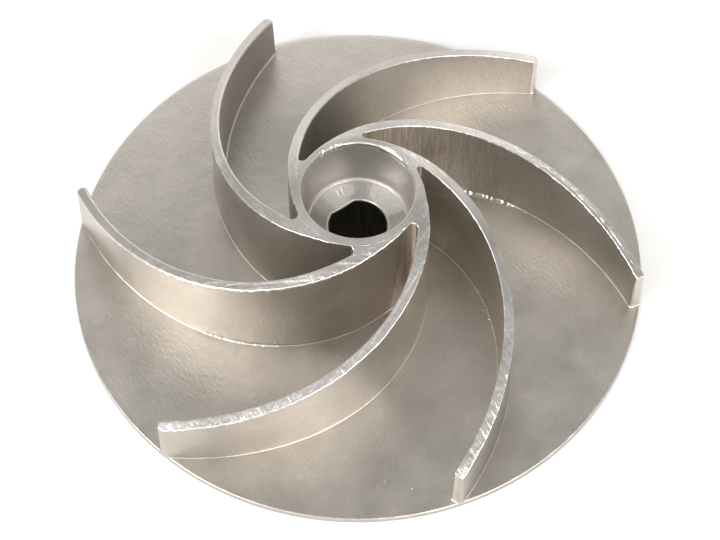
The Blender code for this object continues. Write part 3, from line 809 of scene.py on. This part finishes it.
def vaneSolid(sizes, wear, turn, seed):
    # the solid between the two sides and the one in the slot's end, both turned about the axis by turn
    at, radius, inner, innerNormal, outer, outerNormal, forward, wall, wallNormal = vaneSides(sizes, wear)
    edge, crown = zoned(radius, wear["edge"], sizes) * mm, wear["crown"] * mm
    innerRadius = np.hypot(*inner.T)[:, None]
    inner = inner / innerRadius * np.maximum(innerRadius, sizes["innerLimit"])
    outer, outerNormal = joinHub(outer, outerNormal, sizes, edge)
    foot = np.interp(radius, sizes["footRadii"], sizes["footRounds"]) * zoned(radius, wear["foot"], sizes)
    combStart, combEnd, combStrength = wear["comb"]
    comb = combStrength * smoothStep((radius / mm - combStart) / 4) * smoothStep((combEnd - radius / mm) / 4)
    foot = foot * (1 + 1.6 * comb)
    worn = {key: zoned(radius, value, sizes) for key, value in wear.items() if isinstance(value, tuple)}
    left, right = (np.column_stack([line, normal, edge, worn[side], foot, worn[side + "Bead"], comb,
                                    worn["streak"], worn[side + "Pale"], worn["land"]])
                   for line, normal, side in
                   ((inner, innerNormal, "inner"), (outer, outerNormal, "outer")))
    # crown: the top falls by crown - sqrt(crown^2 - (crown - distance from the tip)^2)
    rest = np.clip(crown - at, 0, crown)
    drop = crown - np.sqrt(crown ** 2 - rest ** 2)
    shells = [uprightSolid(left, right, drop, -forward[0], forward[-1], sizes, seed, wear["ridge"] * mm,
                           wear["skin"] * mm)]
    shells.append(uprightSolid(*slotEnd(sizes, wear, wall, wallNormal), sizes, seed + 3))
    faces = np.vstack([shells[0][1], shells[1][1] + len(shells[0][0])])
    verts = np.vstack([shell[0] for shell in shells])
    faceMaterials, wearAndPaintedLight, streak = (np.concatenate([shell[k] for shell in shells]) for k in (2, 3, 4))
    cosine, sine = math.cos(turn), math.sin(turn)
    verts[:, :2] = verts[:, :2] @ np.array([[cosine, sine], [-sine, cosine]])
    reach = np.hypot(verts[:, 0], verts[:, 1])
    verts[:, :2] *= np.minimum(1, (outerRadius - 0.02 * mm) / np.maximum(reach, mm))[:, None]
    # near the hub's ring the turned top takes the ring's painted light and shade
    near = smoothStep((casting["hubRadius"] + 1.5 * mm - reach) / (2 * mm))
    onTop = (verts[:, 2] > topHeight(reach) - 0.1 * mm) * near
    ringPale = placed(np.arctan2(verts[:, 1], verts[:, 0]), casting["ringPale"])
    wearAndPaintedLight = wearAndPaintedLight * (1 - onTop) + ringPale * onTop
    return verts, faces, faceMaterials, {"wearAndPaintedLight": wearAndPaintedLight, "streak": streak, "stain": stained(verts)}


vanes = []
for number, wear in enumerate(vaneWear):
    turn = -number * 2 * math.pi / casting["vaneCount"]
    verts, faces, faceMaterials, attributes = vaneSolid(vane, wear, turn, 40 + 7 * number)
    vanes.append(makeObject(f"vane_{number + 1}", verts, faces, faceMaterials, finishes, attributes))
print("vanes made")

# Small beads of metal that the casting kept from bubbles in the mould

castBeads = {
    # radius and degrees on the plate, then half length, half width and height in mm, and the turn in degrees
    "beads": [(51.4, 332.6, 0.5, 0.42, 0.34, 0), (48.3, 335.5, 0.36, 0.34, 0.28, 0),
              (86.1, 49.3, 0.42, 0.4, 0.3, 20), (63.3, 19.0, 0.38, 0.34, 0.26, 0),
              (64.7, 236.3, 1.5, 0.24, 0.13, 28), (86.5, 276.0, 0.3, 0.3, 0.2, 0),
              (90.4, 281.5, 0.3, 0.26, 0.2, 0), (58.2, 300.5, 0.3, 0.26, 0.2, 0),
              (72.0, 22.0, 0.26, 0.26, 0.2, 0)],
    "ringColumns": 14,
    "ringRows": 6,
}


def makeCastBeads(sizes):
    # point(u, v) = middle + (length sin v cos u, width sin v sin u, height cos v), turned in plan: the upper
    # half of an egg, sunk a little so that its foot is inside the plate
    verts, faces = [], []
    columns, rows = sizes["ringColumns"], sizes["ringRows"]
    u = np.arange(columns) * 2 * math.pi / columns
    v = np.linspace(0, math.pi / 2, rows + 1)[1:]
    u, v = np.meshgrid(u, v)
    for radius, around, length, width, height, turn in sizes["beads"]:
        along, across = length * mm * np.sin(v) * np.cos(u), width * mm * np.sin(v) * np.sin(u)
        spin, angle = math.radians(turn), math.radians(around)
        middle = np.array([radius * math.cos(angle), radius * math.sin(angle)]) * mm
        bead = np.stack([middle[0] + along * math.cos(spin) - across * math.sin(spin),
                         middle[1] + along * math.sin(spin) + across * math.cos(spin),
                         casting["plateThickness"] - 0.08 * mm + height * mm * np.cos(v)], axis=-1)
        top = [[*middle, casting["plateThickness"] - 0.08 * mm + height * mm]]
        first = sum(len(part) for part in verts)
        verts.append(np.vstack([bead.reshape(-1, 3), top]))
        side = gridFaces(rows, columns, False, True)
        cap = [[rows * columns, j, (j + 1) % columns] for j in range(columns)]
        base = [[(rows - 1) * columns + j for j in range(columns)][::-1]]
        faces += [[first + k for k in face] for face in side.tolist() + cap + base]
    points = np.vstack(verts)
    return makeObject("cast_beads", points, faces, np.full(len(faces), castIndex), finishes,
                      {"wearAndPaintedLight": np.full(len(points), 0.5)})


beads = makeCastBeads(castBeads)
print("cast beads made")

for piece in [plateHub, beads] + vanes:
    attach(piece, "root")
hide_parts("impeller_casting")


# Pale floor, soft light and the photograph's camera

studio = {
    "floorColour": "#F4F3F1",
    "floorSize": 6.0,
    "worldStrength": 0.47,
    "lampDistance": 1.6,
    # degrees round from the right hand side, degrees up, size in metres and watts
    "lamps": [("keyLeft", 210, 36, 0.8, 17.2), ("keyRight", 300, 36, 0.8, 13.6), ("front", 240, 50, 0.8, 4.0),
              ("fillRight", 330, 36, 0.8, 5.5), ("back", 100, 36, 1.0, 3.5), ("backLow", 60, 22, 0.8, 2.8)],
}


def makeFloor(look):
    size = look["floorSize"]
    mesh = bpy.data.meshes.new("floor")
    corners = [(-size, -size, 0), (size, -size, 0), (size, size, 0), (-size, size, 0)]
    mesh.from_pydata(corners, [], [(0, 1, 2, 3)])
    material, tree = newMaterial("matt_white_paper")
    shader = addNode(tree, "ShaderNodeBsdfPrincipled", {"Base Color": linear(look["floorColour"]),
                     "Roughness": 0.9})
    addNode(tree, "ShaderNodeOutputMaterial", {}, {"Surface": shader.outputs[0]})
    mesh.materials.append(material)
    floor = bpy.data.objects.new("floor", mesh)
    floor.location.z = -0.02 * mm
    bpy.context.scene.collection.objects.link(floor)


def makeLights(look):
    world = bpy.data.worlds.new("studio_white")
    bpy.context.scene.world = world
    world.use_nodes = True
    world.node_tree.nodes["Background"].inputs["Color"].default_value = (1, 1, 1, 1)
    world.node_tree.nodes["Background"].inputs["Strength"].default_value = look["worldStrength"]
    for name, around, up, size, watts in look["lamps"]:
        data = bpy.data.lights.new(name, "AREA")
        data.shape = "DISK"
        data.size = size
        data.energy = watts
        lamp = bpy.data.objects.new(name, data)
        azimuth, elevation = math.radians(around), math.radians(up)
        direction = np.array([math.cos(elevation) * math.cos(azimuth),
                              math.cos(elevation) * math.sin(azimuth), math.sin(elevation)])
        lamp.location = direction * look["lampDistance"]
        lamp.rotation_euler = (math.pi / 2 - elevation, 0, azimuth + math.pi / 2)
        bpy.context.scene.collection.objects.link(lamp)


# The camera stands where a fit of the rim and the vanes puts the photographer
photoCamera = {
    "elevation": 58.86,          # degrees above the plate
    "distance": 774.6 * mm,      # to the middle of the plate's front
    "focalPixels": 2189.5,       # in the 720 pixel wide picture
    "pictureWidth": 720,
    "sensorWidth": 36.0,
    "slide": (0.74 * mm, -3.12 * mm),   # across and up the picture
}


def makeCamera(look):
    tilt = math.radians(look["elevation"])
    forward = np.array([0, math.cos(tilt), -math.sin(tilt)])
    up = np.array([0, math.sin(tilt), math.cos(tilt)])
    target = np.array([0, 0, casting["plateThickness"]])
    across, rise = look["slide"]
    place = target - forward * look["distance"] + np.array([across, 0, 0]) + rise * up
    data = bpy.data.cameras.new("photo_camera")
    data.sensor_width = look["sensorWidth"]
    data.sensor_fit = "HORIZONTAL"
    data.lens = look["focalPixels"] * look["sensorWidth"] / look["pictureWidth"]
    data.clip_end = 50
    camera = bpy.data.objects.new("photo_camera", data)
    camera.location = place
    camera.rotation_euler = (math.pi / 2 - tilt, 0, 0)
    bpy.context.scene.collection.objects.link(camera)
    bpy.context.scene.camera = camera


makeFloor(studio)
makeLights(studio)
makeCamera(photoCamera)
bpy.context.scene.view_settings.view_transform = "Standard"
print("studio made")
